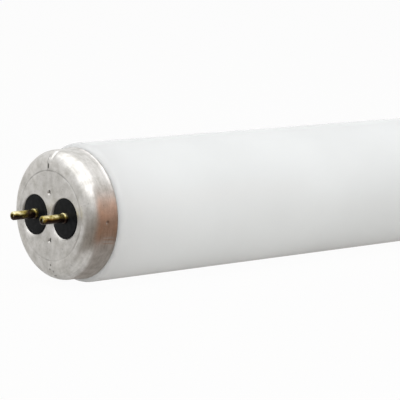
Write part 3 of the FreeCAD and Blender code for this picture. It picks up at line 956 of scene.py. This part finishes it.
class LAMP_OT_insulators(bpy.types.Operator):
    """Mould the insulator behind each cap's face, with a boss in each hole"""

    bl_idname = "lamp.insulators"
    bl_label = "Insulators"

    def execute(self, context):
        size = sizes()
        material = moulded_phenolic()
        moulding = bmesh.new()
        lathe(moulding, [
            (size.plate_front, 0.0),
            (size.plate_front, size.plate_radius - size.plate_chamfer),
            (size.plate_front + size.plate_chamfer, size.plate_radius),
            (size.plate_back, size.plate_radius),
            (size.plate_back, 0.0),
        ], segments=128)
        boss = size.hole_radius - size.boss_clearance
        edge = size.boss_edge_radius
        rooted = 0.6 * MM
        boss_foot = size.plate_front + rooted
        for row in ROWS.values():
            lathe(moulding, [
                (size.boss_setback, 0.0),
                (size.boss_setback, boss - edge),
                *arc((size.boss_setback + edge, boss - edge), edge, 180, 90, 5)[1:],
                (boss_foot, boss),
                (boss_foot, 0.0),
            ], segments=96, middle=row * size.pin_spacing / 2)
        for end, side in ENDS.items():
            name = f"{end}_insulator_moulding"
            mesh = end_mesh(name, moulding, side)
            finished(name, mesh, material, [f"{end}_insulator"], sharp_angle=40)
        moulding.free()
        return {"FINISHED"}


class LAMP_OT_contact_pins(bpy.types.Operator):
    """Grow the four hollow contact pins from their rule"""

    bl_idname = "lamp.contact_pins"
    bl_label = "Contact pins"

    def execute(self, context):
        size = sizes()
        material = bare_brass()
        mouth_end = size.pin_mouth_depth - size.pin_length
        crimp_end = mouth_end + size.crimp_length
        mesh = grown_mesh("contact_pins", pin_rule, {
            "First end": -FACE,
            "End spacing": 2 * FACE,
            "First pin": -size.pin_spacing / 2,
            "Pin spacing": size.pin_spacing,
            "Pin radius": size.pin_radius,
            "Tip": -size.pin_length,
            "Tip round": size.pin_tip_radius,
            "Mouth radius": size.pin_mouth_radius,
            "Mouth round": size.pin_mouth_round,
            "Mouth end": mouth_end,
            "Lead radius": size.lead_radius,
            "Crimp end": crimp_end,
            "Bore radius": size.pin_bore_radius,
            "Bore end": crimp_end + size.pin_bore_radius - size.lead_radius,
            "Collar radius": size.collar_radius,
            "Collar front": size.boss_setback - size.collar_thickness,
            "Collar back": size.boss_setback,
            "Collar round": size.collar_round,
            "Plate back": size.plate_back,
            "Rivet radius": size.rivet_radius,
            "Rivet back": size.pin_back,
        }, material)
        nodes = [f"{end}_{row}_pin" for end in ENDS for row in ROWS]
        finished("contact_pins", mesh, material, nodes, sharp_angle=40)
        return {"FINISHED"}


class LAMP_OT_inner_parts(bpy.types.Operator):
    """Finish the cement rings and the lead wires, which keep the form of their solids"""

    bl_idname = "lamp.inner_parts"
    bl_label = "Cement and lead wires"

    def execute(self, context):
        cement = basing_cement()
        wire = plated_wire()
        for end in ENDS:
            carried = {f"{end}_cement": cement}
            carried |= {f"{end}_{row}_lead": wire for row in ROWS}
            for node, material in carried.items():
                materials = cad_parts[node].data.materials
                materials.clear()
                materials.append(material)
        return {"FINISHED"}


class LAMP_OT_stage(bpy.types.Operator):
    """Set up the floor, the light and the camera"""

    bl_idname = "lamp.stage"
    bl_label = "Stage"

    def execute(self, context):
        floor()
        sky()
        for light in LIGHTS:
            softbox(*light)
        for end, side in ENDS.items():
            end_cards(end, side)
        camera()
        context.scene.view_settings.view_transform = "Standard"
        return {"FINISHED"}


# Stage
# Softboxes: name, azimuth and elevation in degrees and distance from the photographed cap, size,
# radiance, whether gloss shows it and whether it lights matt surfaces
LIGHTS = (
    ("overhead_gloss", -163, 72, 1.1, 2.15, 1.06, True, False),
    ("overhead_softbox", -132, 57, 1.1, 2.1, 1.05, False, True),
    ("low_fill", -100, -2, 1.0, 0.5, 1.9, False, True),
)


def softbox(name, azimuth, elevation, distance, size, radiance, in_gloss, on_matt):
    """Square area light that points at the photographed cap; azimuth turns from +X towards +Y."""
    data = bpy.data.lights.new(name, "AREA")
    data.size = size
    data.energy = radiance * math.pi * size * size
    light = linked(name, data)
    turn = math.radians(azimuth)
    rise = math.radians(elevation)
    away = Vector((math.cos(rise) * math.cos(turn), math.cos(rise) * math.sin(turn), math.sin(rise)))
    light.location = Vector((-FACE, 0, 0)) + away * distance
    light.rotation_euler = away.to_track_quat("Z", "Y").to_euler()
    light.visible_glossy = in_gloss
    light.visible_diffuse = on_matt


def stage_sheet(name, corners, material):
    """Flat piece of the stage."""
    mesh = bpy.data.meshes.new(name)
    mesh.from_pydata(corners, [], [range(len(corners))])
    mesh.materials.append(material)
    piece = linked(name, mesh)
    return piece


# Cards that only gloss shows, which give the metal its dark side. Lengths are in millimetres in an
# end's own frame. Each card on the floor has its outline, each upright one the line of its foot, and
# its colours are (height, colour) pairs
FOOT = -18.6
FLOOR_CARDS = (
    ("floor_card", (
        (0, -27), (-6, -20), (-13, -13), (-18, -2), (-22, 8), (-45, 24),
        (-330, 50), (-330, -400), (0, -400),
    ), "#857C72"),
    ("warm_floor_card", ((170, -31), (-8, -28), (-30, -200), (-30, -400), (170, -400)), "#8C6850"),
    # The contact shadow card paints the floor's shadow under the rim, as gloss shows it
    ("contact_shadow_card", ((170, 25), (6, 25), (4, -12), (2, -22), (0, -30), (170, -31)), "#A39D98"),
)
UPRIGHT_CARDS = (
    ("front_card", ((-330, -300), (-15, -300)), (
        (FOOT, "#959087"), (60, "#CBCAC8"), (140, "#F6F5F3"),
    )),
    ("back_card", ((200, 300), (-330, 300)), (
        (FOOT, "#EBE9E6"), (40, "#EEECEA"), (120, "#EAE9E7"),
    )),
    ("side_card", ((-330, 60), (-330, -300)), ((FOOT, "#B2B1AF"), (60, "#E6E5E3"))),
    ("warm_card", ((-15, -200), (170, -130)), (
        (FOOT, "#8A6A52"), (0, "#A67A62"), (36, "#E8AC86"), (68, "#ECC0A8"),
        (100, "#D5D1CE"), (200, "#DDDCDA"),
    )),
)
CARD_HIDDEN_FROM = ("camera", "diffuse", "transmission", "volume_scatter", "shadow")


def card(name, side, corners, stops):
    """Card beside one end, seen only in gloss, shaded through its colours by height."""
    material, tree, place = patterned(name)
    height = add(tree, "ShaderNodeSeparateXYZ", Vector=place).outputs["Z"]
    top = stops[-1][0]
    share = add(tree, "ShaderNodeMapRange", Value=height, From_Min=FOOT * MM, From_Max=top * MM)
    tone = add(
        tree, "ShaderNodeValToRGB",
        {"stops": [((at - FOOT) / (top - FOOT), linear(shade)) for at, shade in stops]}, Fac=share,
    )
    glow = add(tree, "ShaderNodeEmission", Color=tone)
    add(tree, "ShaderNodeOutputMaterial", Surface=glow)
    placed = [end_matrix(side) @ (Vector(corner) * MM) for corner in corners]
    piece = stage_sheet(name, placed, material)
    for ray in CARD_HIDDEN_FROM:
        setattr(piece, f"visible_{ray}", False)


def end_cards(end, side):
    """All the cards round one end."""
    for name, outline, shade in FLOOR_CARDS:
        corners = [(x, y, FOOT) for x, y in outline]
        card(f"{end}_{name}", side, corners, ((FOOT, shade), (FOOT + 1, shade)))
    for name, (first, second), stops in UPRIGHT_CARDS:
        top = stops[-1][0]
        corners = [(*first, FOOT), (*second, FOOT), (*second, top), (*first, top)]
        card(f"{end}_{name}", side, corners, stops)


# Share of white that each kind of ray sees on the floor and in the world
FLOOR_WHITE = {
    "Is Camera Ray": 0.96, "Is Transmission Ray": 0.96, "Is Glossy Ray": 0.5, "Is Diffuse Ray": 0.4,
}
WORLD_WHITE = {"Is Camera Ray": 1.0, "Is Glossy Ray": 1.0, "Is Transmission Ray": 1.0}
FLOOR_REACH = 12.0
ROOM_LIGHT = 0.46


def shown_white(tree, plain, white, shares, output):
    """Mix a plain shader with a white one, by the share of it that each kind of ray sees."""
    path = add(tree, "ShaderNodeLightPath")
    seen = 0.0
    for ray, share in shares.items():
        part = add(tree, "ShaderNodeMath", {"operation": "MULTIPLY"}, _0=path.outputs[ray], _1=share)
        seen = add(tree, "ShaderNodeMath", {"operation": "MAXIMUM"}, _0=part, _1=seen)
    mixed = add(tree, "ShaderNodeMixShader", Fac=seen, _1=plain, _2=white)
    add(tree, output, Surface=mixed)


def floor():
    """Pale floor under the lamp, white to the camera and half as white in gloss, with its shadow."""
    material = bpy.data.materials.new("pale_floor")
    tree = emptied(material)
    paint = add(tree, "ShaderNodeBsdfDiffuse", Color=linear("#CDCAC5"))
    glow = add(tree, "ShaderNodeEmission", Color=WHITE, Strength=1.0)
    shown_white(tree, paint, glow, FLOOR_WHITE, "ShaderNodeOutputMaterial")
    stage_sheet("floor", [
        (x * FLOOR_REACH, y * FLOOR_REACH, GLASS_LOW.z) for x, y in ((-1, -1), (1, -1), (1, 1), (-1, 1))
    ], material)


def sky():
    """World: a soft grey room, white where the camera, gloss or glass shows it."""
    world = bpy.data.worlds.new("studio")
    bpy.context.scene.world = world
    tree = emptied(world)
    room = add(tree, "ShaderNodeBackground", Color=WHITE, Strength=ROOM_LIGHT)
    white = add(tree, "ShaderNodeBackground", Color=WHITE, Strength=1.0)
    shown_white(tree, room, white, WORLD_WHITE, "ShaderNodeOutputWorld")


# Camera: where it stands from the middle of the photographed cap's face, and where it looks
CAMERA_FROM_CAP = (-337.45 * MM, -438.1 * MM, 69.3 * MM)
CAMERA_YAW = 41.72
CAMERA_PITCH = -6.73
CAMERA_LENS = 189.36


def camera():
    """Camera at the photograph's place and angle."""
    data = bpy.data.cameras.new("camera")
    data.lens = CAMERA_LENS
    data.sensor_width = 36
    data.clip_start = 0.01
    data.clip_end = 100
    eye = linked("camera", data)
    eye.location = Vector(CAMERA_FROM_CAP) + Vector((-FACE, 0, 0))
    eye.rotation_euler = (math.radians(90 + CAMERA_PITCH), 0, math.radians(-CAMERA_YAW))
    bpy.context.scene.camera = eye


OPERATORS = (
    LAMP_OT_glass_bulb,
    LAMP_OT_cap_shells,
    LAMP_OT_insulators,
    LAMP_OT_contact_pins,
    LAMP_OT_inner_parts,
    LAMP_OT_stage,
)


class LAMP_PT_panel(bpy.types.Panel):
    """The lamp's steps, sizes and colours in the sidebar"""

    bl_idname = "LAMP_PT_panel"
    bl_label = "Fluorescent lamp"
    bl_space_type = "VIEW_3D"
    bl_region_type = "UI"
    bl_category = "Lamp"

    def draw(self, context):
        for step in OPERATORS:
            self.layout.operator(step.bl_idname)
        for group in (context.scene.lamp_sizes, context.scene.lamp_colours):
            column = self.layout.column()
            for name in group.bl_rna.properties.keys():
                if name not in ("rna_type", "name"):
                    column.prop(group, name)


CLASSES = (LampSizes, LampColours, *OPERATORS, LAMP_PT_panel)


def register():
    for item in CLASSES:
        bpy.utils.register_class(item)
    bpy.types.Scene.lamp_sizes = PointerProperty(type=LampSizes)
    bpy.types.Scene.lamp_colours = PointerProperty(type=LampColours)


def unregister():
    del bpy.types.Scene.lamp_colours
    del bpy.types.Scene.lamp_sizes
    for item in reversed(CLASSES):
        bpy.utils.unregister_class(item)


def main():
    register()
    bpy.ops.lamp.glass_bulb()
    bpy.ops.lamp.cap_shells()
    bpy.ops.lamp.insulators()
    bpy.ops.lamp.contact_pins()
    bpy.ops.lamp.inner_parts()
    bpy.ops.lamp.stage()


if __name__ == "__main__":
    main()
